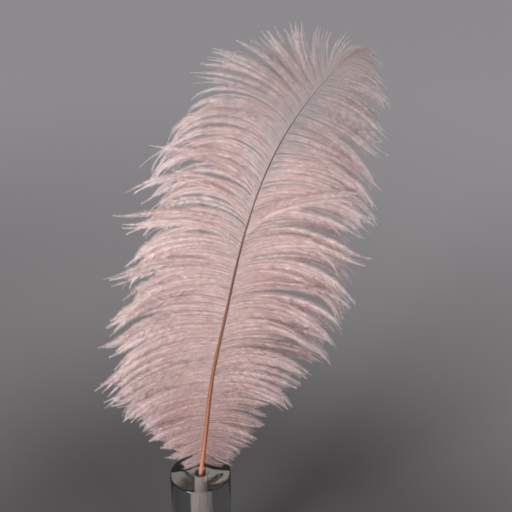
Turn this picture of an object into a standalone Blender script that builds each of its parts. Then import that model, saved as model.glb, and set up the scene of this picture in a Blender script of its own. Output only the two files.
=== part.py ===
"""An ostrich plume standing in a clear glass bud vase.

Metres, +Z up. The origin is the centre of the vase's base. The feather stands in the vase's bore, leans to +X and
shows its outer face to -Y; both vanes sweep back a little towards +Y.
"""

import math

import bmesh
import bpy
import numpy as np
from mathutils import Vector

# Vase: a solid glass cylinder with one blind bore from the top.
VASE_HEIGHT = 0.175
VASE_RADIUS = 0.038
VASE_EDGE = 0.0012  # chamfer at the foot and at the top edge
BORE_RADIUS = 0.008
BORE_DEPTH = 0.075
MOUTH_FLARE = 0.0015  # chamfer at the bore's mouth
VASE_SEGMENTS = 64

# Shaft: its route above the vase's mouth, as (across, depth, height) from the centre of the mouth.
SHAFT_ROUTE = (
    (0.0005, 0.000, 0.000),
    (0.0075, -0.002, 0.055),
    (0.0190, -0.005, 0.145),
    (0.0335, -0.008, 0.215),
    (0.0500, -0.009, 0.292),
    (0.0685, -0.007, 0.358),
    (0.0995, 0.000, 0.427),
    (0.1365, 0.011, 0.4765),
    (0.1740, 0.028, 0.511),
)
SHAFT_BASE_RADIUS = 0.00265  # at the vase's mouth
SHAFT_TIP_RADIUS = 0.0002
SHAFT_TAPER = 1.3  # above 1, the shaft thins fastest near its base
SHAFT_RINGS = 72
SHAFT_SIDES = 14
QUILL_IN_BORE = 0.066  # height of the bare quill below the mouth
QUILL_LEAN = 0.0052  # how far the quill's cut end stands to -X of the mouth's centre
QUILL_END_RADIUS = 0.0019
QUILL_RINGS = 10

# Vanes: each station is (place along the vane, barb length, heading at its root, heading at its tip).
# Headings are degrees from straight up, in the plane of the vane, and positive towards +X.
BARE_QUILL = 0.020  # length of shaft above the mouth before the first barbs
LEFT_STATIONS = (
    (0.00, 0.022, -134, -140),
    (0.10, 0.070, -92, -132),
    (0.20, 0.124, -88, -138),
    (0.30, 0.153, -84, -138),
    (0.40, 0.157, -70, -138),
    (0.50, 0.150, -60, -143),
    (0.60, 0.143, -36, -144),
    (0.70, 0.136, -22, -138),
    (0.78, 0.128, -22, -122),
    (0.85, 0.100, -28, -70),
    (0.91, 0.058, -24, -10),
    (1.00, 0.020, 25, 95),
)
RIGHT_STATIONS = (
    (0.00, 0.024, 132, 140),
    (0.10, 0.058, 80, 128),
    (0.20, 0.092, 66, 134),
    (0.30, 0.128, 62, 142),
    (0.40, 0.144, 62, 148),
    (0.50, 0.146, 60, 152),
    (0.60, 0.141, 58, 146),
    (0.70, 0.131, 72, 146),
    (0.78, 0.119, 92, 144),
    (0.85, 0.101, 100, 142),
    (0.92, 0.072, 90, 140),
    (1.00, 0.028, 80, 146),
)
BARB_CURL = 0.8  # below 1, a barb turns more near its root
BARB_SWEEP_BACK = 0.30  # radians that a barb's tip points back, towards +Y
VANE_ROWS = 44  # barbs that shape the solid, along the shaft
VANE_COLUMNS = 11  # points along each of them
VANE_ROOT_THICKNESS = 0.0030
VANE_TIP_THICKNESS = 0.0012
VANE_GAP = 0.0004  # clearance between a vane and the shaft

SHARP_ANGLE = math.radians(40)


def clear_scene():
    for item in list(bpy.data.objects):
        bpy.data.objects.remove(item, do_unlink=True)


def make_material(name, color, roughness, transmission=0.0):
    material = bpy.data.materials.new(name)
    material.use_nodes = True
    shader = material.node_tree.nodes["Principled BSDF"]
    shader.inputs["Base Color"].default_value = (*color, 1.0)
    shader.inputs["Roughness"].default_value = roughness
    shader.inputs["Metallic"].default_value = 0.0
    shader.inputs["Transmission Weight"].default_value = transmission
    return material


def glass_material():
    return make_material("clear_glass", (0.93, 0.96, 0.96), 0.03, transmission=1.0)


def shaft_material():
    return make_material("dyed_shaft", (0.62, 0.22, 0.10), 0.42)


def vane_material():
    return make_material("pink_down", (0.72, 0.50, 0.47), 0.85)


def smooth_path(points, count):
    """Evenly spaced points on the natural cubic spline through the given points."""
    knots = np.array(points, dtype=float)
    run = np.concatenate([[0.0], np.cumsum(np.linalg.norm(np.diff(knots, axis=0), axis=1))])
    span = np.diff(run)
    last = len(run) - 1
    system = np.eye(last + 1)
    for i in range(1, last):
        system[i, i - 1] = span[i - 1]
        system[i, i] = 2 * (span[i - 1] + span[i])
        system[i, i + 1] = span[i]
    slope = np.diff(knots, axis=0) / span[:, None]
    bend = np.zeros_like(knots)
    bend[1:-1] = 3 * np.diff(slope, axis=0)
    bend = np.linalg.solve(system, bend)
    first = slope - span[:, None] * (2 * bend[:-1] + bend[1:]) / 3
    third = np.diff(bend, axis=0) / (3 * span[:, None])
    at = np.linspace(0.0, run[-1], count)
    piece = np.clip(np.searchsorted(run, at) - 1, 0, last - 1)
    along = (at - run[piece])[:, None]
    return knots[piece] + along * (first[piece] + along * (bend[piece] + along * third[piece]))


def smooth_value(stations, column, at):
    """One column of the stations, eased between them."""
    places = np.array([station[0] for station in stations])
    values = np.array([station[column] for station in stations], dtype=float)
    slopes = np.gradient(values, places)
    piece = int(np.clip(np.searchsorted(places, at) - 1, 0, len(places) - 2))
    width = places[piece + 1] - places[piece]
    t = (at - places[piece]) / width
    return (
        (2 * t**3 - 3 * t**2 + 1) * values[piece]
        + (t**3 - 2 * t**2 + t) * width * slopes[piece]
        + (3 * t**2 - 2 * t**3) * values[piece + 1]
        + (t**3 - t**2) * width * slopes[piece + 1]
    )


def shaft_radius(part):
    """Radius at a fraction of the way from the mouth to the tip."""
    return SHAFT_TIP_RADIUS + (SHAFT_BASE_RADIUS - SHAFT_TIP_RADIUS) * (1.0 - part) ** SHAFT_TAPER


def shaft_points():
    """The shaft's centre line above the mouth, in the world."""
    return smooth_path(SHAFT_ROUTE, SHAFT_RINGS) + np.array([0.0, 0.0, VASE_HEIGHT])


def quill_points():
    """The bare quill's centre line in the bore, from its cut end up to just below the mouth."""
    low = np.array([-QUILL_LEAN, 0.0, VASE_HEIGHT - QUILL_IN_BORE])
    high = np.array([SHAFT_ROUTE[0][0], 0.0, VASE_HEIGHT])
    parts = np.linspace(0.0, 1.0, QUILL_RINGS, endpoint=False)
    return low + (high - low) * parts[:, None]


def add_object(name, mesh, material):
    mesh.materials.append(material)
    mesh.shade_smooth()
    mesh.set_sharp_from_angle(angle=SHARP_ANGLE)
    item = bpy.data.objects.new(name, mesh)
    bpy.context.scene.collection.objects.link(item)
    return item


def mesh_from(shape, name):
    bmesh.ops.recalc_face_normals(shape, faces=shape.faces[:])
    mesh = bpy.data.meshes.new(name)
    shape.to_mesh(mesh)
    shape.free()
    return mesh


def bridge_rings(shape, rings):
    for lower, upper in zip(rings, rings[1:]):
        for i in range(len(lower)):
            j = (i + 1) % len(lower)
            shape.faces.new((lower[i], lower[j], upper[j], upper[i]))


def vase_profile():
    """Radius and height from the foot's rim, up the wall, over the top and down the bore."""
    floor = VASE_HEIGHT - BORE_DEPTH
    return (
        (VASE_RADIUS - VASE_EDGE, 0.0),
        (VASE_RADIUS, VASE_EDGE),
        (VASE_RADIUS, VASE_HEIGHT - VASE_EDGE),
        (VASE_RADIUS - VASE_EDGE, VASE_HEIGHT),
        (BORE_RADIUS + MOUTH_FLARE, VASE_HEIGHT),
        (BORE_RADIUS, VASE_HEIGHT - MOUTH_FLARE),
        (BORE_RADIUS, floor),
    )


def make_vase():
    shape = bmesh.new()
    rings = []
    for radius, height in vase_profile():
        ring = []
        for i in range(VASE_SEGMENTS):
            angle = math.tau * i / VASE_SEGMENTS
            ring.append(shape.verts.new((radius * math.cos(angle), radius * math.sin(angle), height)))
        rings.append(ring)
    bridge_rings(shape, rings)
    shape.faces.new(rings[0])
    shape.faces.new(rings[-1])
    return add_object("vase", mesh_from(shape, "vase"), glass_material())


def make_quill():
    """The whole shaft as one tapered rod: the bare quill in the bore and the rachis above it."""
    below = quill_points()
    above = shaft_points()
    centre = np.vstack([below, above])
    radii = list(np.linspace(QUILL_END_RADIUS, SHAFT_BASE_RADIUS, QUILL_RINGS, endpoint=False))
    radii += [shaft_radius(part) for part in np.linspace(0.0, 1.0, SHAFT_RINGS)]
    shape = bmesh.new()
    rings = []
    for i, radius in enumerate(radii):
        before = centre[max(i - 1, 0)]
        after = centre[min(i + 1, len(centre) - 1)]
        along = Vector(after - before).normalized()
        side = along.cross(Vector((0.0, 1.0, 0.0))).normalized()
        front = side.cross(along)
        ring = []
        for k in range(SHAFT_SIDES):
            angle = math.tau * k / SHAFT_SIDES
            offset = side * math.cos(angle) + front * math.sin(angle)
            ring.append(shape.verts.new(Vector(centre[i]) + offset * radius))
        rings.append(ring)
    bridge_rings(shape, rings)
    shape.faces.new(rings[0])
    shape.faces.new(rings[-1])
    return add_object("quill", mesh_from(shape, "quill"), shaft_material())


def barb_line(stations, at, shaft):
    """The centre line of one barb, from beside the shaft out to its tip."""
    run = np.concatenate([[0.0], np.cumsum(np.linalg.norm(np.diff(shaft, axis=0), axis=1))])
    place = BARE_QUILL + (run[-1] - BARE_QUILL) * at
    length = smooth_value(stations, 1, at)
    start = math.radians(smooth_value(stations, 2, at))
    end = math.radians(smooth_value(stations, 3, at))
    point = np.array([np.interp(place, run, shaft[:, axis]) for axis in range(3)])
    clear = shaft_radius(place / run[-1]) + VANE_GAP + VANE_ROOT_THICKNESS / 2
    points = []
    step = (length - clear) / (VANE_COLUMNS - 1)
    out = np.array([math.sin(start), 0.0, math.cos(start)])
    point = point + out * clear
    points.append(point)
    for k in range(VANE_COLUMNS - 1):
        t = (k + 0.5) / (VANE_COLUMNS - 1)
        heading = start + (end - start) * t**BARB_CURL
        back = BARB_SWEEP_BACK * t
        direction = (
            math.sin(heading) * math.cos(back),
            math.sin(back),
            math.cos(heading) * math.cos(back),
        )
        point = point + step * np.array(direction)
        points.append(point)
    return points


def make_vane(name, stations):
    """One vane as a thin curved blade that follows the barbs and ends at their tips."""
    shaft = shaft_points()
    places = np.linspace(0.0, 1.0, VANE_ROWS)
    middle = np.array([barb_line(stations, at, shaft) for at in places])
    along = np.gradient(middle, axis=0)
    across = np.gradient(middle, axis=1)
    facing = np.cross(along, across)
    facing /= np.linalg.norm(facing, axis=2, keepdims=True)
    thickness = np.linspace(VANE_ROOT_THICKNESS, VANE_TIP_THICKNESS, VANE_COLUMNS)
    half = facing * thickness[None, :, None] / 2
    shape = bmesh.new()
    front = [[shape.verts.new(point) for point in row] for row in middle + half]
    back = [[shape.verts.new(point) for point in row] for row in middle - half]
    for i in range(VANE_ROWS - 1):
        for k in range(VANE_COLUMNS - 1):
            shape.faces.new((front[i][k], front[i][k + 1], front[i + 1][k + 1], front[i + 1][k]))
            shape.faces.new((back[i][k], back[i + 1][k], back[i + 1][k + 1], back[i][k + 1]))
    for k in range(VANE_COLUMNS - 1):
        for i in (0, VANE_ROWS - 1):
            shape.faces.new((front[i][k], front[i][k + 1], back[i][k + 1], back[i][k]))
    for i in range(VANE_ROWS - 1):
        for k in (0, VANE_COLUMNS - 1):
            shape.faces.new((front[i][k], front[i + 1][k], back[i + 1][k], back[i][k]))
    return add_object(name, mesh_from(shape, name), vane_material())


def main():
    clear_scene()
    make_vase()
    make_quill()
    make_vane("vane_left", LEFT_STATIONS)
    make_vane("vane_right", RIGHT_STATIONS)


main()
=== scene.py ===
import math
import bpy
import numpy as np
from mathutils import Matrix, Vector


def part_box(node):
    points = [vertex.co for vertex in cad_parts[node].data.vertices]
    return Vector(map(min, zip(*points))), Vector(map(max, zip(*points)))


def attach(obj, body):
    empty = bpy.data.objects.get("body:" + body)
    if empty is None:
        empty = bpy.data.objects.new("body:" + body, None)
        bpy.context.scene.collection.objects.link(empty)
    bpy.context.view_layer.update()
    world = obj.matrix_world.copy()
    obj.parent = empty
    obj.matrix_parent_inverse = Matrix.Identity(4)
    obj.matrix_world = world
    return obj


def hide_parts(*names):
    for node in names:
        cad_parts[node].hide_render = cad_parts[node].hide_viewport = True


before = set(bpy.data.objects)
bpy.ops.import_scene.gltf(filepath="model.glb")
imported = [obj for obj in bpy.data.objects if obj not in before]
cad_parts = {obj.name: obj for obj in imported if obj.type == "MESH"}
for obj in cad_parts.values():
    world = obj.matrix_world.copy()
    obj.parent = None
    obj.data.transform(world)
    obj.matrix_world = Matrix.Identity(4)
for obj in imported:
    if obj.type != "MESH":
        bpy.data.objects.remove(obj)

scene = bpy.context.scene
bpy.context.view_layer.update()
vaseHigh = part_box("vase")[1]
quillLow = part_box("quill")[0]
mouth = Vector((0.0, 0.0, vaseHigh.z))  # centre of the vase's mouth, where the plume leaves it
print("frame loaded, vase mouth at", round(mouth.z, 4))


# small helpers for node trees
def addNode(tree, kind, *values, **settings):
    # values fill the live inputs in order: None leaves one alone, a socket is linked
    made = tree.nodes.new(kind)
    for name, value in settings.items():
        setattr(made, name, value)
    live = [socket for socket in made.inputs if socket.enabled]
    for socket, value in zip(live, values):
        if isinstance(value, bpy.types.NodeSocket):
            tree.links.new(value, socket)
        elif value is not None:
            socket.default_value = value
    return made


def firstOut(made):
    return next(socket for socket in made.outputs if socket.enabled)


def maths(tree, operation, *values):
    return firstOut(addNode(tree, "ShaderNodeMath", *values, operation=operation))


def newMaterial(name):
    material = bpy.data.materials.new(name)
    material.use_nodes = True
    tree = material.node_tree
    return material, tree, tree.nodes["Principled BSDF"], tree.nodes["Material Output"]


def colourRamp(tree, factor, stops):
    made = addNode(tree, "ShaderNodeValToRGB", factor)
    ramp = made.color_ramp
    while len(ramp.elements) < len(stops):
        ramp.elements.new(0.5)
    for element, (place, colour) in zip(ramp.elements, stops):
        element.position = place
        element.color = (*colour, 1.0)
    return made.outputs["Color"]


def greyRamp(tree, factor, stops):
    return colourRamp(tree, factor, [(place, (grey, grey, grey)) for place, grey in stops])


def mixColour(tree, factor, first, second, blend="MIX"):
    made = tree.nodes.new("ShaderNodeMix")
    made.data_type = "RGBA"
    made.blend_type = blend
    for name, value in (("Factor_Float", factor), ("A_Color", first), ("B_Color", second)):
        socket = next(s for s in made.inputs if s.identifier == name)
        if isinstance(value, bpy.types.NodeSocket):
            tree.links.new(value, socket)
        else:
            socket.default_value = value
    return next(s for s in made.outputs if s.identifier == "Result_Color")


# the plume: the line of its shaft, and how its barbs leave it
plume = {
    # the shaft's route above the mouth: across, depth, height
    "route": (
        (0.0005, 0.000, 0.000), (0.0075, -0.002, 0.055), (0.0190, -0.005, 0.145),
        (0.0335, -0.008, 0.215), (0.0500, -0.009, 0.292), (0.0685, -0.007, 0.358),
        (0.0995, 0.000, 0.427), (0.1365, 0.011, 0.4765), (0.1740, 0.028, 0.511),
    ),
    "bareQuill": 0.020,       # shaft above the mouth before the first barbs
    "baseRadius": 0.00265,    # of the shaft at the mouth
    "tipRadius": 0.0002,
    "taper": 1.3,
    "sweepBack": 0.30,        # radians that the barbs' tips point back
    "curl": 0.8,              # below 1, a barb turns more near its root
}

# each station: place along the vane, barb length, heading at its root, heading at its tip
# headings are degrees from straight up, positive towards +X
vanes = {
    "left": (
        (0.00, 0.027, -142, -122), (0.10, 0.072, -94, -132), (0.20, 0.122, -88, -140),
        (0.30, 0.148, -84, -142), (0.40, 0.148, -68, -142), (0.50, 0.144, -58, -146),
        (0.60, 0.142, -30, -146), (0.70, 0.140, -22, -138), (0.78, 0.130, -22, -124),
        (0.85, 0.100, -30, -66), (0.90, 0.060, -28, -4), (0.95, 0.034, 12, 92),
        (1.00, 0.022, 76, 130),
    ),
    "right": (
        (0.00, 0.029, 140, 120), (0.10, 0.064, 80, 126), (0.20, 0.096, 64, 134),
        (0.30, 0.130, 62, 142), (0.40, 0.146, 62, 148), (0.50, 0.148, 60, 152),
        (0.60, 0.142, 58, 146), (0.70, 0.132, 72, 146), (0.78, 0.120, 94, 144),
        (0.85, 0.102, 102, 142), (0.90, 0.082, 90, 140), (0.95, 0.056, 86, 138),
        (1.00, 0.028, 85, 146),
    ),
}


def smoothPath(points, count):
    # evenly spaced points on the natural cubic spline through the given ones
    knots = np.array(points, dtype=float)
    run = np.concatenate([[0.0], np.cumsum(np.linalg.norm(np.diff(knots, axis=0), axis=1))])
    span = np.diff(run)
    last = len(run) - 1
    system = np.eye(last + 1)
    for i in range(1, last):
        system[i, i - 1:i + 2] = span[i - 1], 2 * (span[i - 1] + span[i]), span[i]
    slope = np.diff(knots, axis=0) / span[:, None]
    bend = np.zeros_like(knots)
    bend[1:-1] = 3 * np.diff(slope, axis=0)
    bend = np.linalg.solve(system, bend)
    first = slope - span[:, None] * (2 * bend[:-1] + bend[1:]) / 3
    third = np.diff(bend, axis=0) / (3 * span[:, None])
    at = np.linspace(0.0, run[-1], count)
    piece = np.clip(np.searchsorted(run, at) - 1, 0, last - 1)
    along = (at - run[piece])[:, None]
    return knots[piece] + along * (first[piece] + along * (bend[piece] + along * third[piece]))


def stationValue(stations, column, at):
    # one column of the stations, eased between them, for an array of places
    places = np.array([station[0] for station in stations])
    values = np.array([station[column] for station in stations], dtype=float)
    slopes = np.gradient(values, places)
    piece = np.clip(np.searchsorted(places, at) - 1, 0, len(places) - 2)
    width = places[piece + 1] - places[piece]
    t = (at - places[piece]) / width
    return (
        (2 * t**3 - 3 * t**2 + 1) * values[piece]
        + (t**3 - 2 * t**2 + t) * width * slopes[piece]
        + (3 * t**2 - 2 * t**3) * values[piece + 1]
        + (t**3 - t**2) * width * slopes[piece + 1]
    )


def smoothStep(low, high, x):
    t = np.clip((x - low) / (high - low), 0.0, 1.0)
    return t * t * (3 - 2 * t)


def shaftRadius(part):
    return plume["tipRadius"] + (plume["baseRadius"] - plume["tipRadius"]) * (1 - part) ** plume["taper"]


shaftLine = smoothPath(plume["route"], 400) + np.array(mouth)
shaftRun = np.concatenate([[0.0], np.cumsum(np.linalg.norm(np.diff(shaftLine, axis=0), axis=1))])
shaftLength = shaftRun[-1]


def onShaft(distance):
    return np.stack([np.interp(distance, shaftRun, shaftLine[:, axis]) for axis in range(3)], -1)


# barbs, the fine stems that grow out of the shaft
barbs = {
    # place along the vane and metres from barb to barb
    "pitch": {
        "left": (
            (0.0, 0.0015), (0.5, 0.0017), (0.65, 0.0020), (0.78, 0.0017), (0.90, 0.0013), (1.0, 0.0016),
        ),
        "right": ((0.0, 0.0015), (0.5, 0.0017), (0.65, 0.0021), (0.90, 0.0021), (1.0, 0.0016)),
    },
    "pitchStray": 0.25,       # share of the pitch that a root strays
    "points": 20,             # along each barb
    "lock": (2, 6),           # how many neighbours cling together
    "layers": 0.08,           # radians that the front and the back layer stand apart from the middle
    "lockDepth": 0.10,        # radians that a lock strays in front or behind
    "sweep": (3, 7),          # how many locks lean the same way
    "sweepShare": 0.6,        # how much of a lock's stray its whole sweep shares
    "barbDepth": 0.05,        # radians that one barb strays in front or behind
    "rootStray": 1.2,         # degrees that a barb strays at its root
    "lengthSpread": 0.045,    # of one barb, and of a whole lock
    "lockSpread": 0.05,
    "lockMiddle": 1.06,       # length of a lock's middle barbs, and how much less its outer ones have
    "lockTaper": 0.15,
    "wave": 3.2,              # degrees of slow waving along a barb
    "waveTurns": 9.0,
    "waveBack": 2.5,          # the same from front to back
    "waveBackTurns": 8.0,
    "hook": (14, 10),         # degrees that a lock and a barb hook at the tip
    "hookFrom": 0.72,
    "foot": 0.12,             # the lowest barbs, which hook more
    "footHook": 4.5,
    "wispShare": 0.07,        # barbs that leave their lock
    "wispTurn": 9.0,
    "wispLength": 1.03,
    "wispHold": 0.2,
    "wispReach": 0.6,
    "hold": (0.7, 1.1),       # how firmly a barb keeps to its lock
    "archStray": 2.0,         # degrees
    "lockFrom": (0.10, 0.85),     # where along a barb its lock draws together
    "sweepFrom": (0.35, 1.0),
    "overMouth": (0.0012, 0.002),  # least height over the vase, and its spread
    "roll": (0.35, 0.7),      # radians of twist from the root, and more towards the tip
    "fullReach": 0.32,        # where along a barb its barbules have grown to their full reach
    "thinFrom": 0.70,         # where they start to shorten, and by how much
    "thinBy": 0.68,
    "shortBarb": 0.08,        # barbs under this length have shorter barbules
    "reachSpread": (0.85, 1.1),
    "rootRadius": 0.00026,
    "tipRadius": 0.00011,
    "seed": 11,
}

# by place along the vane: degrees that a lock strays, degrees that one barb strays,
# how far a sweep of locks and how far a lock draws together,
# the barbules' reach beside the shaft and further out
temper = {
    "left": (
        (0.00, 2.6, 3.2, 0.02, 0.44, 0.0060, 0.0088),
        (0.35, 3.0, 3.4, 0.02, 0.48, 0.0060, 0.0090),
        (0.52, 7.0, 6.0, 0.05, 0.46, 0.0046, 0.0076),
        (0.70, 9.0, 8.5, 0.09, 0.38, 0.0029, 0.0058),
        (0.88, 7.0, 7.0, 0.10, 0.40, 0.0026, 0.0056),
        (1.00, 2.0, 3.0, 0.05, 0.40, 0.0024, 0.0050),
    ),
    "right": (
        (0.00, 3.2, 3.2, 0.02, 0.46, 0.0060, 0.0088),
        (0.45, 5.0, 3.8, 0.04, 0.50, 0.0052, 0.0086),
        (0.62, 5.0, 3.2, 0.05, 0.48, 0.0040, 0.0072),
        (0.75, 2.4, 1.8, 0.03, 0.40, 0.0028, 0.0062),
        (1.00, 2.0, 2.0, 0.03, 0.40, 0.0024, 0.0050),
    ),
}

# locks that arch over their neighbours: first and last place, degrees of turn at the root and at the tip,
# radians of lift, share of the usual length
arches = {
    "left": (
        (0.640, 0.658, 8, 40, -0.12, 0.95), (0.585, 0.612, 20, 44, -0.16, 0.80),
        (0.535, 0.555, 10, 30, -0.18, 0.92), (0.470, 0.492, 4, 16, -0.14, 0.96),
        (0.400, 0.416, 0, 14, -0.10, 1.00),
    ),
    "right": (
        (0.560, 0.600, -18, -52, -0.22, 0.90), (0.500, 0.535, -10, -34, -0.18, 0.96),
        (0.420, 0.440, -6, -20, -0.12, 1.00), (0.310, 0.330, -6, -20, -0.12, 1.00),
        (0.150, 0.172, -22, -28, -0.14, 1.05),
    ),
}

fluff = {
    "spacing": 0.00052,       # between pairs of barbules
    "length": 0.0070,         # that the pairs are drawn for, and their ribbons' width at that length
    "width": 0.00030,
    "rootAngle": (50, 9),     # degrees from the barb where a barbule leaves it, and the stray
    "tipAngle": (14, 12),     # the same at the barbule's tip
    "rootShift": 0.05,        # along the barb, in pair lengths
    "cup": 0.35,              # how far a barbule may stand out of its pair's plane
    "bendWidth": 0.8,         # of the ribbon's width at its root
    "variants": 6,
    "sizes": (0.72, 1.15),    # of the pairs, beside the barb's own reach
    "roll": 0.5,              # radians that a pair may roll round its barb on its own
    "crimp": {"lower": 2.8, "middle": 2.2, "upper": 1.3},  # radians of roll that one tuft shares
    "tuft": 0.0012,           # size of those tufts
    "swell": 1.2,             # how much the reach changes from tuft to tuft
    "rodShare": 0.12,         # how far off the barb's middle line a rod counts, for the painted gap shade and the map
    "mapWidth": 0.003,        # of a ribbon on the map
    "seed": 5,
}


def groupNumbers(count, sizes, rng):
    numbers = []
    while len(numbers) < count:
        numbers += [numbers[-1] + 1 if numbers else 0] * int(rng.integers(*sizes))
    return np.array(numbers[:count])


def layeredLocks(count, rng):
    # every other barb belongs to the back layer, which has locks and sweeps of its own
    lock = np.zeros(count, dtype=int)
    sweep = np.zeros(count, dtype=int)
    for layer in (0, 1):
        inLayer = np.arange(layer, count, 2)
        own = groupNumbers(len(inLayer), barbs["lock"], rng)
        swept = groupNumbers(own.max() + 1, barbs["sweep"], rng)
        sweep[inLayer] = swept[own] + (sweep.max() + 1) * layer
        lock[inLayer] = own + (lock.max() + 1) * layer
    return lock, sweep


def drawTogether(line, group, amount):
    # moves each line towards its group's middle line by an amount for each point
    sums = np.zeros((group.max() + 1, *line.shape[1:]))
    np.add.at(sums, group, line)
    middle = sums / np.maximum(np.bincount(group), 1)[:, None, None]
    return line + (middle[group] - line) * amount[..., None]


def layOutBarbs(side, rng):
    # where the barbs leave the shaft, and the locks and sweeps that they belong to
    steps = 2000
    fine = np.linspace(0, 1, steps)
    pitch = np.interp(fine, *np.array(barbs["pitch"][side]).T)
    rank = np.cumsum((shaftLength - plume["bareQuill"]) / steps / pitch)
    count = int(rank[-1])
    stray = rng.uniform(-barbs["pitchStray"], barbs["pitchStray"], count)
    at = np.interp(np.arange(count) + stray, rank, fine)
    lock, sweep = layeredLocks(count, rng)
    return at, lock, sweep


def barbLengths(side, at, lock, wisp, rng):
    count = len(at)
    inLock = np.array([np.count_nonzero(lock[:i] == lock[i]) for i in range(count)])
    offCentre = np.abs(2 * (inLock + 0.5) / np.bincount(lock)[lock] - 1)
    length = stationValue(vanes[side], 1, at)
    length = length * (1 + rng.normal(0, barbs["lockSpread"], lock.max() + 1)[lock])
    length = length * (1 + rng.normal(0, barbs["lengthSpread"], count))
    length = length * (barbs["lockMiddle"] - barbs["lockTaper"] * offCentre)
    return length * np.where(wisp, barbs["wispLength"], 1.0)


def facingOf(line, along, rng):
    # out of the plume's front, rolled round each barb by its own twist
    tangent = np.gradient(line, axis=1)
    tangent /= np.linalg.norm(tangent, axis=2, keepdims=True)
    ahead = np.array([0.0, -1.0, 0.0]) - tangent * (-tangent[..., 1:2])
    ahead /= np.linalg.norm(ahead, axis=2, keepdims=True)
    first, more = barbs["roll"]
    roll = rng.normal(0, first, len(line))[:, None] + rng.normal(0, more, len(line))[:, None] * along[None]
    return ahead * np.cos(roll)[..., None] + np.cross(tangent, ahead) * np.sin(roll)[..., None]


def growBarbs(side):
    # every barb's centre line, its outward facing and how far its barbules reach
    rng = np.random.default_rng(barbs["seed"] + (side == "right"))
    n = barbs["points"]
    at, lock, sweep = layOutBarbs(side, rng)
    count = len(at)
    locks = lock.max() + 1
    sweeps = sweep.max() + 1
    wisp = rng.random(count) < barbs["wispShare"]
    length = barbLengths(side, at, lock, wisp, rng)
    rooted = np.radians(stationValue(vanes[side], 2, at) + rng.normal(0, barbs["rootStray"], count))
    end = np.radians(stationValue(vanes[side], 3, at))
    mood = np.array(temper[side])
    moods = (np.interp(at, mood[:, 0], mood[:, k]) for k in range(1, 7))
    stray, loner, gather, pull, nearReach, farReach = moods
    turn = stray * (rng.normal(0, 1, locks)[lock] + barbs["sweepShare"] * rng.uniform(-1, 1, sweeps)[sweep])
    turn = turn + loner * rng.normal(0, 1, count) + wisp * rng.normal(0, barbs["wispTurn"], count)
    # arching locks, in the front layer only
    start = rooted
    lift = np.zeros(count)
    front = np.arange(count) % 2 == 0
    for number, (first, last, rootTurn, tipTurn, rise, share) in enumerate(arches[side]):
        member = front & (at >= first) & (at <= last)
        lock[member] = locks + number
        gather = np.where(member, 0.0, gather)
        start = np.where(member, start + math.radians(rootTurn), start)
        turn = np.where(member, tipTurn - rootTurn + rng.normal(0, barbs["archStray"], count), turn)
        lift = np.where(member, rise, lift)
        length = np.where(member, length * share, length)
        wisp = wisp & ~member
    turn = np.radians(turn)
    own = np.minimum(lock, locks - 1)
    deep = np.where(front, -1, 1) * barbs["layers"] + rng.normal(0, barbs["lockDepth"], locks)[own]
    deep = np.where(lift == 0.0, deep, lift) + rng.normal(0, barbs["barbDepth"], count)
    lockHook, barbHook = barbs["hook"]
    hook = np.radians(rng.normal(0, lockHook, locks)[own] + rng.normal(0, barbHook, count))
    hook = hook * (1 + barbs["footHook"] * (1 - smoothStep(0.0, barbs["foot"], at)))
    phase = (rng.uniform(0, math.tau, locks)[own] + rng.normal(0, 0.5, count))[:, None]
    # headings along each barb, then the line that follows them
    t = (np.arange(n - 1) + 0.5) / (n - 1)
    heading = start[:, None] + (end - rooted)[:, None] * t**plume["curl"] + turn[:, None] * t
    bent = np.clip((t - barbs["hookFrom"]) / (1 - barbs["hookFrom"]), 0, 1) ** 2
    heading = heading + hook[:, None] * bent
    heading = heading + np.radians(barbs["wave"]) * np.sin(phase + barbs["waveTurns"] * t) * t
    back = plume["sweepBack"] * t + deep[:, None] * smoothStep(0.0, 0.5, t)
    back = back + np.radians(barbs["waveBack"]) * np.sin(1.7 * phase + barbs["waveBackTurns"] * t)
    direction = np.stack([np.sin(heading) * np.cos(back), np.sin(back), np.cos(heading) * np.cos(back)], -1)
    place = plume["bareQuill"] + (shaftLength - plume["bareQuill"]) * at
    radius = shaftRadius(place / shaftLength)
    outward = np.stack([np.sin(start), np.full(count, 0.25), np.cos(start)], -1)
    root = onShaft(place) + outward * radius[:, None] * 0.75
    steps = np.cumsum(direction * (length / (n - 1))[:, None, None], axis=1)
    line = np.concatenate([root[:, None], root[:, None] + steps], axis=1)
    along = np.linspace(0, 1, n)
    loose = np.where(wisp, barbs["wispHold"], 1.0) * rng.uniform(*barbs["hold"], count)
    bySweep = (gather * loose)[:, None] * smoothStep(*barbs["sweepFrom"], along)[None]
    byLock = (pull * loose)[:, None] * smoothStep(*barbs["lockFrom"], along)[None]
    line = drawTogether(line, sweep, bySweep)
    line = drawTogether(line, lock, byLock)
    # nothing dips below the vase's mouth
    clear, spread = barbs["overMouth"]
    low = line[:, :, 2] < mouth.z + clear
    line[:, :, 2] = np.where(low, mouth.z + clear + rng.uniform(0, spread, (count, 1)), line[:, :, 2])
    facing = facingOf(line, along, rng)
    longest = np.clip(length / barbs["shortBarb"], 0.5, 1.0)
    out = smoothStep(0.0, barbs["fullReach"], along)[None]
    reach = nearReach[:, None] * (1 - out) + (farReach * longest)[:, None] * out
    reach = reach * (1 - barbs["thinBy"] * smoothStep(barbs["thinFrom"], 1.0, along))[None]
    fuller = rng.uniform(*barbs["reachSpread"], count) * np.where(wisp, barbs["wispReach"], 1.0)
    reach = reach * fuller[:, None]
    return {"at": at, "line": line, "facing": facing, "reach": reach, "along": along}


def flat(values):
    return np.asarray(values).astype(np.float32).ravel()


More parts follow.
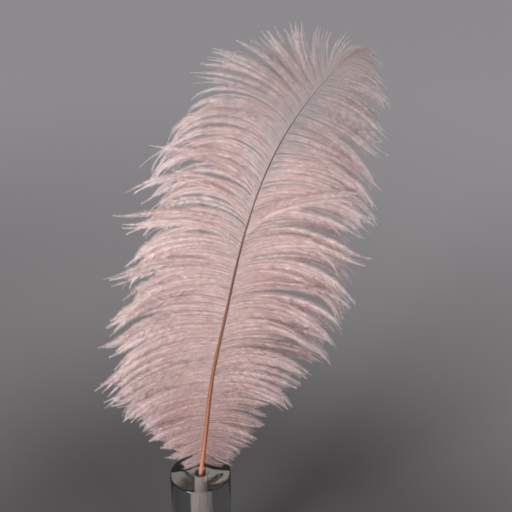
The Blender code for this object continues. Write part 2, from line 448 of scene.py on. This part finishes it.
def barbPiece(grown, low, high, name):
    # the barbs whose roots lie from low to high along the vane, as a mesh of plain edges for the tree
    picked = (grown["at"] >= low) & (grown["at"] < high)
    line = grown["line"][picked]
    count, n = line.shape[:2]
    first = np.arange(count)[:, None] * n + np.arange(n - 1)[None]
    edges = np.stack([first, first + 1], -1).reshape(-1, 2)
    mesh = bpy.data.meshes.new(name)
    mesh.vertices.add(count * n)
    mesh.vertices.foreach_set("co", flat(line))
    mesh.edges.add(len(edges))
    mesh.edges.foreach_set("vertices", edges.astype(np.int32).ravel())
    at = grown["at"][picked]
    place = np.stack(np.broadcast_arrays(at[:, None], grown["along"][None]), -1)
    place = np.concatenate([place, np.zeros((count, n, 1))], -1)
    rank = np.broadcast_to(((np.arange(count) + 0.5) / count)[:, None], (count, n))
    for key, values in (("place", place), ("facing", grown["facing"][picked])):
        mesh.attributes.new(key, "FLOAT_VECTOR", "POINT").data.foreach_set("vector", flat(values))
    thick = barbs["rootRadius"] + (barbs["tipRadius"] - barbs["rootRadius"]) * grown["along"]
    thick = np.broadcast_to(thick[None], (count, n))
    for key, values in (("reach", grown["reach"][picked]), ("rank", rank), ("thick", thick)):
        mesh.attributes.new(key, "FLOAT", "POINT").data.foreach_set("value", flat(values))
    mesh.update()
    made = bpy.data.objects.new(name, mesh)
    scene.collection.objects.link(made)
    return made, count


def barbulePairs():
    # unit-length pairs of barbules, one to each side, each a narrow tapering ribbon of two faces
    rng = np.random.default_rng(fluff["seed"])
    group = bpy.data.collections.new("barbulePairs")
    half = fluff["width"] / fluff["length"] / 2
    for number in range(fluff["variants"]):
        points, faces, lateral, across = [], [], [], []
        for hand in (-1, 1):
            angles = []
            for middle, stray in (fluff["rootAngle"], fluff["tipAngle"]):
                angles.append(math.radians(middle + rng.uniform(-stray, stray)))
            first, last = angles
            lift = rng.uniform(-fluff["cup"], fluff["cup"])
            flows = []
            for angle, share in (((first * 2 + last) / 3, 0.5), ((first + last * 2) / 3, -0.5)):
                flow = Vector((math.cos(angle), hand * math.sin(angle), lift * (share + 0.3)))
                flows.append(flow.normalized())
            root = Vector((rng.uniform(-fluff["rootShift"], fluff["rootShift"]), 0.0, 0.0))
            bend = root + flows[0] * 0.5
            tip = bend + flows[1] * 0.5
            rootEdge = Vector((0, 0, 1)).cross(flows[0]).normalized() * half
            bendEdge = Vector((0, 0, 1)).cross(flows[1]).normalized() * half * fluff["bendWidth"]
            base = len(points)
            points += [root - rootEdge, root + rootEdge, bend - bendEdge, bend + bendEdge, tip]
            lateral += [0.0, 0.0, hand * 0.5, hand * 0.5, hand * 1.0]
            across += [-1.0, 1.0, -1.0, 1.0, 0.0]
            faces += [(base, base + 1, base + 3, base + 2), (base + 2, base + 3, base + 4)]
        mesh = bpy.data.meshes.new("barbulePair")
        mesh.from_pydata([tuple(p) for p in points], [], faces)
        for key, values in (("lateral", lateral), ("across", across)):
            mesh.attributes.new(key, "FLOAT", "POINT").data.foreach_set("value", values)
        group.objects.link(bpy.data.objects.new("barbulePair", mesh))
    return group


def fluffTree(pairs):
    # barbs as fine three-sided rods, with pairs of barbules instanced all along them
    tree = bpy.data.node_groups.new("barbFluff", "GeometryNodeTree")
    face = tree.interface
    face.new_socket("Geometry", in_out="OUTPUT", socket_type="NodeSocketGeometry")
    face.new_socket("Barb Lines", in_out="INPUT", socket_type="NodeSocketGeometry")
    for label in ("Spacing", "Roll", "Crimp", "Tuft", "Swell", "Cell"):
        face.new_socket(label, in_out="INPUT", socket_type="NodeSocketFloat")
    for label, kind in (("Seed", "Int"), ("Pairs", "Collection"), ("Finish", "Material")):
        face.new_socket(label, in_out="INPUT", socket_type="NodeSocket" + kind)
    given = tree.nodes.new("NodeGroupInput").outputs

    def named(key, kind="FLOAT"):
        return addNode(tree, "GeometryNodeInputNamedAttribute", key, data_type=kind).outputs["Attribute"]

    lines = addNode(tree, "GeometryNodeMeshToCurve", given["Barb Lines"]).outputs[0]
    # rods
    rim = addNode(tree, "GeometryNodeCurvePrimitiveCircle", 3)
    rim.inputs["Radius"].default_value = 1.0
    spun = maths(tree, "SUBTRACT", addNode(tree, "GeometryNodeSplineParameter").outputs["Factor"], 0.5)
    rimMarked = addNode(tree, "GeometryNodeStoreNamedAttribute", rim.outputs["Curve"], None, "lateral",
                        data_type="FLOAT", domain="POINT")
    tree.links.new(maths(tree, "MULTIPLY", spun, fluff["rodShare"]), rimMarked.inputs["Value"])
    rods = addNode(tree, "GeometryNodeCurveToMesh", lines, rimMarked.outputs[0])
    tree.links.new(named("thick"), rods.inputs["Scale"])
    rods.inputs["Fill Caps"].default_value = True
    # barbules
    walk = addNode(tree, "GeometryNodeResampleCurve", mode="LENGTH")
    tree.links.new(lines, walk.inputs["Curve"])
    tree.links.new(given["Spacing"], walk.inputs["Length"])
    tangent = addNode(tree, "GeometryNodeInputTangent").outputs[0]
    turned = addNode(tree, "FunctionNodeAxesToRotation", tangent, named("facing", "FLOAT_VECTOR"),
                     primary_axis="X", secondary_axis="Z").outputs[0]

    def randomValue(low, high, offset):
        made = addNode(tree, "FunctionNodeRandomValue", data_type="FLOAT")
        for key, value in (("Min_001", low), ("Max_001", high)):
            socket = next(s for s in made.inputs if s.identifier == key)
            if isinstance(value, bpy.types.NodeSocket):
                tree.links.new(value, socket)
            else:
                socket.default_value = value
        tree.links.new(maths(tree, "ADD", given["Seed"], offset), made.inputs["Seed"])
        return next(s for s in made.outputs if s.identifier == "Value_001")

    # neighbouring pairs roll and reach alike, tuft by tuft, which gives the down its crimp
    where = addNode(tree, "GeometryNodeInputPosition").outputs[0]
    tufts = addNode(tree, "ShaderNodeTexNoise", where, maths(tree, "DIVIDE", 1.0, given["Tuft"]), 1.0, 0.5)
    sway = maths(tree, "SUBTRACT", tufts.outputs["Fac"], 0.5)
    unroll = maths(tree, "MULTIPLY", given["Roll"], -1.0)
    own = randomValue(unroll, given["Roll"], 1.0)
    rolled = maths(tree, "ADD", own, maths(tree, "MULTIPLY", sway, given["Crimp"]))
    spin = addNode(tree, "FunctionNodeAxisAngleToRotation", (1, 0, 0), rolled)
    turned = addNode(tree, "FunctionNodeRotateRotation", turned, spin.outputs[0], rotation_space="LOCAL")
    turned = turned.outputs[0]
    size = maths(tree, "MULTIPLY", named("reach"), randomValue(*fluff["sizes"], 2.0))
    swollen = maths(tree, "ADD", 1.0, maths(tree, "MULTIPLY", sway, given["Swell"]))
    size = maths(tree, "MULTIPLY", size, swollen)
    pick = addNode(tree, "GeometryNodeCollectionInfo", given["Pairs"], True, True)
    spread = addNode(tree, "GeometryNodeInstanceOnPoints", walk.outputs[0])
    tree.links.new(pick.outputs[0], spread.inputs["Instance"])
    spread.inputs["Pick Instance"].default_value = True
    chosen = maths(tree, "MULTIPLY", randomValue(0.0, 1.0, 3.0), float(fluff["variants"]))
    tree.links.new(maths(tree, "FLOOR", chosen), spread.inputs["Instance Index"])
    tree.links.new(turned, spread.inputs["Rotation"])
    scale = addNode(tree, "ShaderNodeCombineXYZ", size, size, size)
    tree.links.new(scale.outputs[0], spread.inputs["Scale"])
    barbules = addNode(tree, "GeometryNodeRealizeInstances", spread.outputs[0]).outputs[0]
    joined = tree.nodes.new("GeometryNodeJoinGeometry")
    tree.links.new(barbules, joined.inputs[0])
    tree.links.new(rods.outputs[0], joined.inputs[0])
    # a map in the vane's own terms: barb by barb across, root to tip along
    lateral = named("lateral")
    shift = maths(tree, "MULTIPLY", maths(tree, "MULTIPLY", lateral, 0.5), given["Cell"])
    across = maths(tree, "ADD", named("rank"), shift)
    place = addNode(tree, "ShaderNodeSeparateXYZ", named("place", "FLOAT_VECTOR"))
    aside = maths(tree, "MULTIPLY", named("across"), fluff["mapWidth"])
    down = maths(tree, "ADD", place.outputs["Y"], aside)
    spot = addNode(tree, "ShaderNodeCombineXYZ", across, down, 0.0)
    mapped = addNode(tree, "GeometryNodeStoreNamedAttribute", joined.outputs[0], None, "OFBake",
                     data_type="FLOAT2", domain="CORNER")
    tree.links.new(spot.outputs[0], mapped.inputs["Value"])
    full = addNode(tree, "ShaderNodeCombineXYZ", place.outputs["X"], place.outputs["Y"],
                   maths(tree, "ABSOLUTE", lateral))
    told = addNode(tree, "GeometryNodeStoreNamedAttribute", mapped.outputs[0], None, "place",
                   data_type="FLOAT_VECTOR", domain="POINT")
    tree.links.new(full.outputs[0], told.inputs["Value"])
    clothed = addNode(tree, "GeometryNodeSetMaterial", told.outputs[0])
    tree.links.new(given["Finish"], clothed.inputs["Material"])
    out = tree.nodes.new("NodeGroupOutput")
    tree.links.new(clothed.outputs[0], out.inputs[0])
    return tree


def runTree(made, tree, values):
    # sets the tree's named inputs, evaluates it once and keeps the result as a plain mesh
    modifier = made.modifiers.new("fluff", "NODES")
    modifier.node_group = tree
    keys = {item.name: item.identifier for item in tree.interface.items_tree if item.in_out == "INPUT"}
    for label, value in values.items():
        modifier[keys[label]] = value
    bpy.context.view_layer.update()
    graph = bpy.context.evaluated_depsgraph_get()
    done = made.evaluated_get(graph)
    mesh = bpy.data.meshes.new_from_object(done, preserve_all_data_layers=True, depsgraph=graph)
    made.modifiers.remove(modifier)
    old = made.data
    made.data = mesh
    bpy.data.meshes.remove(old)
    for key in ("facing", "reach", "thick", "across", "lateral", "rank"):
        if key in mesh.attributes:
            mesh.attributes.remove(mesh.attributes[key])
    return made


# finishes
downTone = {
    "root": (0.610, 0.425, 0.405),
    "middle": (0.630, 0.475, 0.460),
    "tip": (0.730, 0.635, 0.625),
    "spineLightGapShade": (0.830, 0.725, 0.712),   # along each barb; painted paler than the barbules' outer ends, which leaves painted shade in the gaps between barbs
    "gapShadeShare": 0.8,
    "deep": (0.640, 0.345, 0.322),    # broad patches where the dye took more strongly
    "deepShare": 0.8,
    "deepFrom": ((0.45, 0.0), (0.70, 1.0)),
    "patches": (22.0, 2.2),           # along the vane, along the barb
    "base": (0.460, 0.215, 0.200),    # at the foot of the plume and at its very tip
    "baseFrom": ((0.0, 1.0), (0.24, 0.0), (0.95, 0.0), (1.0, 1.0)),
    "baseFade": 0.6,                  # towards the barbs' tips
    "streaks": (190.0, 3.0),          # no two barbs are quite the same
    "streakFrom": ((0.32, 0.70), (0.68, 1.0)),
    "paintedShadeAndLight": (                        # painted shade and light: the down is painted darker towards the tip of the plume and at its foot, and brighter in the middle
        (0.0, (0.88, 0.88, 0.88)), (0.30, (0.95, 0.95, 0.95)), (0.48, (1.05, 1.05, 1.05)),
        (0.70, (1.08, 1.08, 1.08)), (0.86, (0.76, 0.77, 0.78)), (1.0, (0.78, 0.78, 0.78)),
    ),
    "paintedShadeFade": 0.7,                 # but the painted shade and light are weaker at the barbs' tips
    "light": 0.32,                    # share of the light that passes through
    "roughness": 0.72,
    "shine": 0.25,
}


def splitPlace(tree):
    # along the vane or shaft, along the barb or round the shaft, and off the middle line
    place = addNode(tree, "ShaderNodeAttribute", attribute_name="place")
    return addNode(tree, "ShaderNodeSeparateXYZ", place.outputs["Vector"]).outputs


def stretchedNoise(tree, x, y, stretch, offset, scale, detail):
    spread = addNode(tree, "ShaderNodeCombineXYZ", maths(tree, "MULTIPLY", x, stretch[0]),
                     maths(tree, "MULTIPLY", y, stretch[1]), offset)
    return addNode(tree, "ShaderNodeTexNoise", spread.outputs[0], None, scale, detail).outputs["Fac"]


def pinkDown():
    material, tree, shader, out = newMaterial("pinkDown")
    x, y, z = splitPlace(tree)
    tones = ((0.0, downTone["root"]), (0.45, downTone["middle"]), (1.0, downTone["tip"]))
    tone = colourRamp(tree, y, tones)
    patches = stretchedNoise(tree, x, y, downTone["patches"], 0.0, 1.0, 2.0)
    dyed = maths(tree, "MULTIPLY", greyRamp(tree, patches, downTone["deepFrom"]), downTone["deepShare"])
    tone = mixColour(tree, dyed, tone, (*downTone["deep"], 1.0))
    fade = maths(tree, "SUBTRACT", 1.0, maths(tree, "MULTIPLY", y, downTone["baseFade"]))
    ends = maths(tree, "MULTIPLY", greyRamp(tree, x, downTone["baseFrom"]), fade)
    tone = mixColour(tree, ends, tone, (*downTone["base"], 1.0))
    # painted shade: barbs and barbule roots are painted paler, so the barbules' outer ends in the gaps
    # between barbs stay darker
    gapShadeMix = maths(tree, "POWER", maths(tree, "SUBTRACT", 1.0, z), 3.0)
    gapShadeMix = maths(tree, "MULTIPLY", gapShadeMix, downTone["gapShadeShare"])
    tone = mixColour(tree, gapShadeMix, tone, (*downTone["spineLightGapShade"], 1.0))
    streaks = stretchedNoise(tree, x, y, downTone["streaks"], 4.0, 1.0, 1.0)
    tone = mixColour(tree, 1.0, tone, greyRamp(tree, streaks, downTone["streakFrom"]), "MULTIPLY")
    # painted shade and light along the plume, strongest near the shaft
    paintedShadeWeight = maths(tree, "MULTIPLY", maths(tree, "POWER", y, 3.0), downTone["paintedShadeFade"])
    paintedShadeWeight = maths(tree, "SUBTRACT", 1.0, paintedShadeWeight)
    tone = mixColour(tree, paintedShadeWeight, tone, colourRamp(tree, x, downTone["paintedShadeAndLight"]), "MULTIPLY")
    tree.links.new(tone, shader.inputs["Base Color"])
    shader.inputs["Roughness"].default_value = downTone["roughness"]
    shader.inputs["Specular IOR Level"].default_value = downTone["shine"]
    through = addNode(tree, "ShaderNodeBsdfTranslucent", tone)
    blend = addNode(tree, "ShaderNodeMixShader", downTone["light"], shader.outputs[0], through.outputs[0])
    tree.links.new(blend.outputs[0], out.inputs["Surface"])
    return material


shaftTone = {
    "quill": (0.500, 0.185, 0.110),
    "lower": (0.350, 0.120, 0.042),
    "middle": (0.135, 0.040, 0.024),
    "upper": (0.045, 0.014, 0.013),
    "tip": (0.400, 0.180, 0.160),
    "places": (0.0, 0.22, 0.50, 0.78, 0.97),
    "grain": (14.0, 9.0),             # along the shaft, round it
    "grainFrom": ((0.35, 0.62), (0.65, 1.0)),
    "edge": (0.085, 0.028, 0.016),    # painted shade: the sides, where the barbs leave, are painted darker than the round front
    "sideShadeShare": 0.8,
    "roughness": 0.38,
    "coat": 0.15,
}


def dyedShaft():
    material, tree, shader, out = newMaterial("dyedShaft")
    x, y, z = splitPlace(tree)
    tones = [shaftTone[key] for key in ("quill", "lower", "middle", "upper", "tip")]
    tone = colourRamp(tree, x, list(zip(shaftTone["places"], tones)))
    grain = stretchedNoise(tree, x, y, shaftTone["grain"], 0.0, 1.5, 4.0)
    tone = mixColour(tree, 1.0, tone, greyRamp(tree, grain, shaftTone["grainFrom"]), "MULTIPLY")
    # painted shade down the shaft's sides
    sideShade = maths(tree, "MULTIPLY", z, shaftTone["sideShadeShare"])
    tone = mixColour(tree, sideShade, tone, (*shaftTone["edge"], 1.0))
    tree.links.new(tone, shader.inputs["Base Color"])
    shader.inputs["Roughness"].default_value = shaftTone["roughness"]
    shader.inputs["Coat Weight"].default_value = shaftTone["coat"]
    return material


glassTone = {
    "clear": (0.98, 0.99, 0.99),
    "tint": (0.88, 0.89, 0.89),
    "density": 46.0,
    "ior": 1.5,
    "ground": 0.20,                   # roughness of the bore's frosted wall
    "frost": (0.86, 0.74, 0.71),      # its pale threads, where down clings to it
    "threads": (500.0, 500.0, 800.0),
    "threadFrom": ((0.46, 1.0), (0.56, 0.10)),
}


def newGlass(name, tone, roughness):
    material, tree, shader, out = newMaterial(name)
    shader.inputs["Base Color"].default_value = (*tone, 1.0)
    shader.inputs["Roughness"].default_value = roughness
    shader.inputs["IOR"].default_value = glassTone["ior"]
    shader.inputs["Transmission Weight"].default_value = 1.0
    dim = addNode(tree, "ShaderNodeVolumeAbsorption", (*glassTone["tint"], 1.0), glassTone["density"])
    tree.links.new(dim.outputs[0], out.inputs["Volume"])
    return material, tree, shader


def clearGlass():
    return newGlass("clearGlass", glassTone["clear"], 0.0)[0]


def groundGlass():
    material, tree, shader = newGlass("groundGlass", glassTone["frost"], glassTone["ground"])
    where = addNode(tree, "ShaderNodeTexCoord").outputs["Object"]
    finer = addNode(tree, "ShaderNodeVectorMath", where, glassTone["threads"], operation="MULTIPLY")
    noise = addNode(tree, "ShaderNodeTexNoise", finer.outputs[0], None, 1.0, 4.0)
    threads = greyRamp(tree, noise.outputs["Fac"], glassTone["threadFrom"])
    tree.links.new(threads, shader.inputs["Transmission Weight"])
    return material


# the vase
vase = {
    "radius": vaseHigh.x,
    "height": vaseHigh.z,
    "foot": 0.0012,           # rounding at the foot
    "rim": 0.0012,            # rounding at the top edge
    "bore": 0.008,
    "boreDepth": 0.075,
    "flare": 0.0015,
    "boreFoot": 0.003,        # rounding at the bottom of the bore
    "sides": 128,
    "sharp": 35,              # degrees, past which an edge stays crisp
}


def arcPoints(centre, radius, first, last, count=6):
    angles = np.radians(np.linspace(first, last, count))
    return [(centre[0] + radius * math.cos(a), centre[1] + radius * math.sin(a)) for a in angles]


def vaseProfile():
    r, h = vase["radius"], vase["height"]
    floor = h - vase["boreDepth"]
    points = [(0.0, 0.0)]
    points += arcPoints((r - vase["foot"], vase["foot"]), vase["foot"], -90, 0)
    points += [(r, h * part) for part in (0.25, 0.5, 0.75)]
    points += arcPoints((r - vase["rim"], h - vase["rim"]), vase["rim"], 0, 90)
    ground = len(points) + 2
    points += [(vase["bore"] + vase["flare"] * 2, h)]
    points += arcPoints((vase["bore"] + vase["flare"], h - vase["flare"]), vase["flare"], 90, 180)
    foot = vase["boreFoot"]
    points += [(vase["bore"], floor + foot)]
    points += arcPoints((vase["bore"] - foot, floor + foot), foot, 0, -90)[1:]
    points += [(0.0, floor)]
    return points, ground


def makeVase():
    points, ground = vaseProfile()
    sides = vase["sides"]
    verts, faces, marks = [], [], []
    rings = []
    for radius, height in points:
        if radius == 0.0:
            rings.append([len(verts)])
            verts.append((0.0, 0.0, height))
            continue
        rings.append(list(range(len(verts), len(verts) + sides)))
        for k in range(sides):
            angle = math.tau * k / sides
            verts.append((radius * math.cos(angle), radius * math.sin(angle), height))
    for number, (one, two) in enumerate(zip(rings, rings[1:])):
        for k in range(sides):
            j = (k + 1) % sides
            if len(one) == 1:
                faces.append((one[0], two[j], two[k]))
            elif len(two) == 1:
                faces.append((one[k], one[j], two[0]))
            else:
                faces.append((one[k], one[j], two[j], two[k]))
            marks.append(1 if number >= ground else 0)
    mesh = bpy.data.meshes.new("vase_glass")
    mesh.from_pydata(verts, [], faces)
    mesh.materials.append(clearGlass())
    mesh.materials.append(groundGlass())
    mesh.polygons.foreach_set("material_index", marks)
    mesh.shade_smooth()
    mesh.set_sharp_from_angle(angle=math.radians(vase["sharp"]))
    made = bpy.data.objects.new("vase_glass", mesh)
    scene.collection.objects.link(made)
    return made


# the shaft
shaft = {
    "rings": 260,
    "sides": 20,
    "groove": 0.22,           # depth of the groove down the back, as a share of the radius
    "grooveWidth": 0.45,      # radians round the shaft
    "quillRings": 30,
    "quillDepth": mouth.z - quillLow.z,
    "quillEnd": 0.0019,
    "quillLean": -(quillLow.x + 0.0019),
    "ease": (10, 20),         # rings below and above the mouth that are eased, and how often
    "easePasses": 6,
    "grooveFrom": 0.10,       # share of the whole run where the groove starts, and how soon it is full
    "grooveGrows": 0.12,
    "edge": 1.8,              # above 1, the painted shade on the sides is narrower
}


def makeShaft(finish):
    upper = smoothPath(plume["route"], shaft["rings"]) + np.array(mouth)
    end = np.array([-shaft["quillLean"], 0.0, mouth.z - shaft["quillDepth"] + 0.0001])
    part = np.linspace(0, 1, shaft["quillRings"], endpoint=False)[:, None]
    line = np.vstack([end + (upper[0] - end) * part, upper])
    # ease the corner between the straight quill and the curved shaft
    below, above = shaft["ease"]
    low = shaft["quillRings"] - below
    high = shaft["quillRings"] + above
    for _ in range(shaft["easePasses"]):
        line[low:high] = (line[low - 1:high - 1] + line[low:high] * 2 + line[low + 1:high + 1]) / 4
    radius = np.concatenate([
        shaft["quillEnd"] + (plume["baseRadius"] - shaft["quillEnd"]) * smoothStep(0, 1, part[:, 0]),
        shaftRadius(np.linspace(0, 1, shaft["rings"])),
    ])
    along = np.gradient(line, axis=0)
    along /= np.linalg.norm(along, axis=1, keepdims=True)
    side = np.cross(along, (0.0, 1.0, 0.0))
    side /= np.linalg.norm(side, axis=1, keepdims=True)
    front = np.cross(side, along)
    sides = shaft["sides"]
    angle = np.arange(sides) * math.tau / sides
    run = np.concatenate([[0.0], np.cumsum(np.linalg.norm(np.diff(line, axis=0), axis=1))])
    # the quill is round, the groove starts above it
    bare = smoothStep(0.0, shaft["grooveGrows"], run / run[-1] - shaft["grooveFrom"])
    dip = np.exp(-((angle - math.pi / 2) / shaft["grooveWidth"]) ** 2)
    groove = 1 - shaft["groove"] * bare[:, None] * dip[None]
    # front is towards +Y, so the groove lies down the back
    rings = radius[:, None] * groove
    points = line[:, None] + side[:, None] * (rings * np.cos(angle))[..., None] \
        + front[:, None] * (rings * np.sin(angle))[..., None]
    count = len(line)
    verts = points.reshape(-1, 3)
    verts = np.vstack([verts, line[0], line[-1]])
    faces = []
    for i in range(count - 1):
        for k in range(sides):
            j = (k + 1) % sides
            faces.append((i * sides + k, i * sides + j, (i + 1) * sides + j, (i + 1) * sides + k))
    for k in range(sides):
        j = (k + 1) % sides
        faces.append((count * sides, j, k))
        faces.append((count * sides + 1, (count - 1) * sides + k, (count - 1) * sides + j))
    mesh = bpy.data.meshes.new("shaft")
    mesh.from_pydata(verts.tolist(), [], faces)
    atMouth = run[shaft["quillRings"]]
    share = np.clip((run - atMouth) / (run[-1] - atMouth), 0, 1)
    # last term: how far a point stands from the front's middle line, which sets the painted shade on the
    # sides
    edge = np.abs(np.cos(angle)) ** shaft["edge"]
    place = np.zeros((count, sides, 3))
    place[..., 0] = share[:, None]
    place[..., 1] = (np.arange(sides) / sides)[None]
    place[..., 2] = edge[None] * smoothStep(0.02, 0.10, share)[:, None]
    place = np.vstack([place.reshape(-1, 3), (0, 0, 0), (1, 0, 0)])
    mesh.attributes.new("place", "FLOAT_VECTOR", "POINT").data.foreach_set("vector", flat(place))
    mesh.materials.append(finish)
    mesh.shade_smooth()
    made = bpy.data.objects.new("shaft", mesh)
    scene.collection.objects.link(made)
    return made


# stage, lights and camera
stage = {
    "floorRadius": 60.0,
    # the floor's colour: painted shade, dark near the vase, lifting to pale far away
    "near": (0.112, 0.105, 0.108),
    "far": (0.84, 0.82, 0.83),
    "nearEdge": 0.26,         # metres from the vase where the floor's painted shade starts to lift
    "farEdge": 5.0,
    "roughness": 0.85,
    "shine": 0.2,
    "world": (0.98, 0.965, 1.0),
    "worldStrength": 0.32,
}

# each light is a soft rectangle: where it hangs, where it points, metres across, watts, colour
lights = {
    "keyLight": ((-1.3, -1.5, 0.62), (0.0, 0.0, mouth.z + 0.27), 0.9, 9.5, (1.0, 0.985, 0.97)),
    "fillLight": ((1.4, -1.5, 0.60), (0.05, 0.0, mouth.z + 0.27), 0.9, 2.6, (0.97, 0.98, 1.0)),
    # this one also shines in the vase's top face
    "topLight": (
        (-0.22, 1.53, mouth.z + 1.60), (-0.22, 0.0, mouth.z), 0.8, 0.62, (1.0, 0.93, 0.82),
    ),
}
lightHeight = 0.8             # of its width
lightSpread = 60.0            # degrees


def makeFloor():
    mesh = bpy.data.meshes.new("floor")
    corners = 64
    turns = np.linspace(0, math.tau, corners, endpoint=False)
    ring = [(stage["floorRadius"] * math.cos(a), stage["floorRadius"] * math.sin(a), 0.0) for a in turns]
    mesh.from_pydata(ring, [], [tuple(range(corners))])
    material, tree, shader, out = newMaterial("paintedShadeFloor")
    where = addNode(tree, "ShaderNodeTexCoord").outputs["Object"]
    away = addNode(tree, "ShaderNodeVectorMath", where, operation="LENGTH").outputs["Value"]
    # painted shade: the floor is darker near the vase and pale far away
    logs = maths(tree, "LOGARITHM", maths(tree, "MAXIMUM", away, stage["nearEdge"]), 10.0)
    near, far = math.log10(stage["nearEdge"]), math.log10(stage["farEdge"])
    spread = addNode(tree, "ShaderNodeMapRange", logs, near, far, interpolation_type="SMOOTHSTEP")
    tone = colourRamp(tree, spread.outputs[0], ((0.0, stage["near"]), (1.0, stage["far"])))
    tree.links.new(tone, shader.inputs["Base Color"])
    shader.inputs["Roughness"].default_value = stage["roughness"]
    shader.inputs["Specular IOR Level"].default_value = stage["shine"]
    mesh.materials.append(material)
    made = bpy.data.objects.new("floor", mesh)
    scene.collection.objects.link(made)


def addLight(name, place, aim, width, power, colour):
    data = bpy.data.lights.new(name, "AREA")
    data.shape = "RECTANGLE"
    data.size = width
    data.size_y = width * lightHeight
    data.energy = power
    data.spread = math.radians(lightSpread)
    data.color = colour
    made = bpy.data.objects.new(name, data)
    made.location = place
    made.rotation_euler = (Vector(aim) - Vector(place)).to_track_quat("-Z", "Y").to_euler()
    scene.collection.objects.link(made)


def setStage():
    makeFloor()
    world = bpy.data.worlds.new("softRoom")
    scene.world = world
    world.use_nodes = True
    back = world.node_tree.nodes["Background"]
    back.inputs["Color"].default_value = (*stage["world"], 1.0)
    back.inputs["Strength"].default_value = stage["worldStrength"]
    for name, values in lights.items():
        addLight(name, *values)
    scene.view_settings.view_transform = "Standard"


camera = {
    "across": 0.0697,
    "back": 0.726,
    "aboveMouth": 0.586,
    "downTilt": 22.0,         # degrees
    "lens": 50.0,             # millimetres, on a sensor this wide
    "sensor": 36.0,
}


def setCamera():
    data = bpy.data.cameras.new("camera")
    data.lens = camera["lens"]
    data.sensor_width = camera["sensor"]
    data.clip_start = 0.02
    data.clip_end = 200.0
    made = bpy.data.objects.new("camera", data)
    made.location = (camera["across"], -camera["back"], mouth.z + camera["aboveMouth"])
    made.rotation_euler = (math.radians(90.0 - camera["downTilt"]), 0.0, 0.0)
    scene.collection.objects.link(made)
    scene.camera = made


# putting it together
setCamera()
setStage()
print("stage, lights and camera set")

glass = makeVase()
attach(glass, "root")
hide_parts("vase")
print("vase made")

stem = makeShaft(dyedShaft())
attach(stem, "root")
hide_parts("quill")
print("shaft made")

down = pinkDown()
pairs = barbulePairs()
tree = fluffTree(pairs)
sections = (("lower", 0.0, 0.30), ("middle", 0.30, 0.60), ("upper", 0.60, 1.01))


def addDown(grown, section, low, high, name, node):
    piece, count = barbPiece(grown, low, high, name)
    runTree(piece, tree, {
        "Spacing": fluff["spacing"],
        "Roll": fluff["roll"],
        "Crimp": fluff["crimp"][section],
        "Tuft": fluff["tuft"],
        "Swell": fluff["swell"],
        "Cell": 1.0 / count,
        "Seed": fluff["seed"],
        "Pairs": pairs,
        "Finish": down,
    })
    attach(piece, "root")
    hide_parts(node)
    faces = len(piece.data.loops) - 2 * len(piece.data.polygons)
    print(piece.name, count, "barbs,", faces, "triangles")


for side in vanes:
    grown = growBarbs(side)
    for section, low, high in sections:
        addDown(grown, section, low, high, f"barbs_{side}_{section}", f"vane_{side}")
